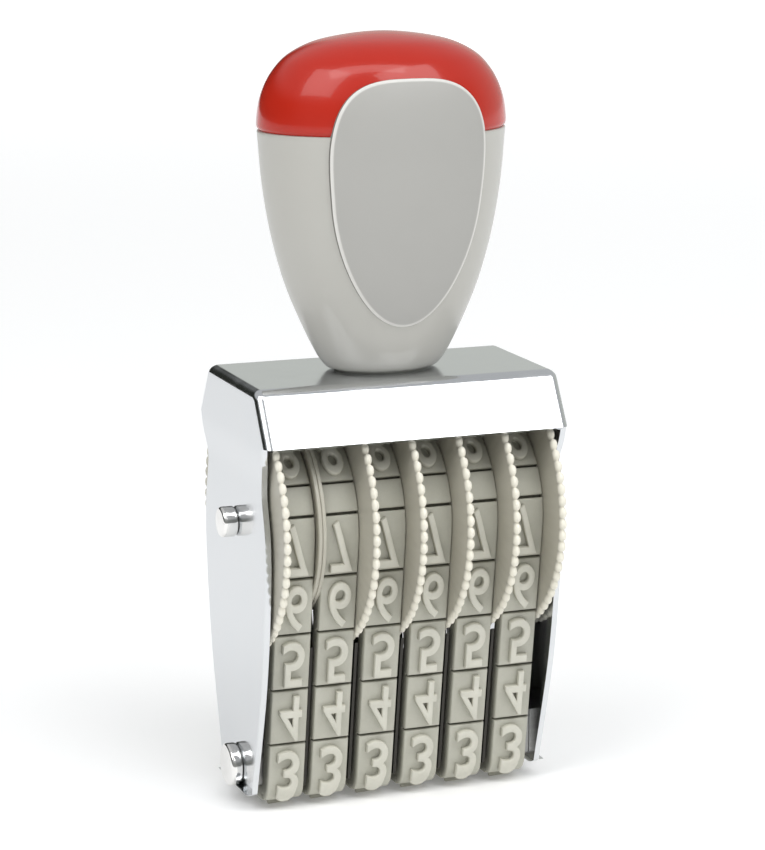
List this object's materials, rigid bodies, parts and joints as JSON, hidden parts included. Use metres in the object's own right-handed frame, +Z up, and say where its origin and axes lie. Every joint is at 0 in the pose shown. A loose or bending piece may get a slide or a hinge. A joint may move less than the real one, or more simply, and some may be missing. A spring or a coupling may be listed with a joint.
{
  "type": "rotary number band stamp",
  "caption": "Hand stamp: egg-shaped grip on a folded chromed frame that holds rubber number bands, each set by its own beaded thumb wheel.",
  "frame": {"origin": "middle of the printing face, on the surface that the stamp stands on", "axes": "+X along the row of bands, -Y the front with the label, +Z up through the grip"},
  "size_m": [0.0474, 0.0362, 0.106],
  "materials": {
    "chromed_sheet": "bright chrome plate on folded sheet",
    "chromed_rod": "bright chrome plate on turned steel",
    "plain_steel": "drawn, unplated",
    "grip_grey": "light grey, moulded, glossy",
    "cap_red": "red, moulded, high gloss",
    "label_grey": "light grey, satin",
    "insert_brass": "turned",
    "wheel_plastic": "cream grey, moulded",
    "band_rubber": "grey moulded rubber"
  },
  "bodies": {
    "stamp": {"frame_shell": "chromed_sheet", "handle_body": "grip_grey", "handle_cap": "cap_red", "front_label": "label_grey", "rear_label": "label_grey", "handle_insert": "insert_brass", "handle_screw": "plain_steel", "wheel_axle": "chromed_rod", "axle_end_head": "chromed_rod", "axle_washer_left": "plain_steel", "axle_washer_right": "plain_steel", "band_1": "band_rubber", "band_2": "band_rubber", "band_3": "band_rubber", "band_4": "band_rubber", "band_5": "band_rubber", "band_6": "band_rubber", "bridge_bar": "plain_steel", "bridge_rod": "chromed_rod", "rod_end_head": "chromed_rod", "partition_1": "plain_steel", "partition_2": "plain_steel", "partition_3": "plain_steel", "partition_4": "plain_steel", "partition_5": "plain_steel"},
    "thumb_wheel_1": {"wheel_1": "wheel_plastic"},
    "thumb_wheel_2": {"wheel_2": "wheel_plastic"},
    "thumb_wheel_3": {"wheel_3": "wheel_plastic"},
    "thumb_wheel_4": {"wheel_4": "wheel_plastic"},
    "thumb_wheel_5": {"wheel_5": "wheel_plastic"},
    "thumb_wheel_6": {"wheel_6": "wheel_plastic"}
  },
  "joints": [
    {"name": "wheel_1_turn", "type": "hinge", "parent": "stamp", "child": "thumb_wheel_1", "pos_m": [0, 0, 0.04], "axis": [1, 0, 0], "continuous": true},
    {"name": "wheel_2_turn", "type": "hinge", "parent": "stamp", "child": "thumb_wheel_2", "pos_m": [0, 0, 0.04], "axis": [1, 0, 0], "continuous": true},
    {"name": "wheel_3_turn", "type": "hinge", "parent": "stamp", "child": "thumb_wheel_3", "pos_m": [0, 0, 0.04], "axis": [1, 0, 0], "continuous": true},
    {"name": "wheel_4_turn", "type": "hinge", "parent": "stamp", "child": "thumb_wheel_4", "pos_m": [0, 0, 0.04], "axis": [1, 0, 0], "continuous": true},
    {"name": "wheel_5_turn", "type": "hinge", "parent": "stamp", "child": "thumb_wheel_5", "pos_m": [0, 0, 0.04], "axis": [1, 0, 0], "continuous": true},
    {"name": "wheel_6_turn", "type": "hinge", "parent": "stamp", "child": "thumb_wheel_6", "pos_m": [0, 0, 0.04], "axis": [1, 0, 0], "continuous": true}
  ]
}
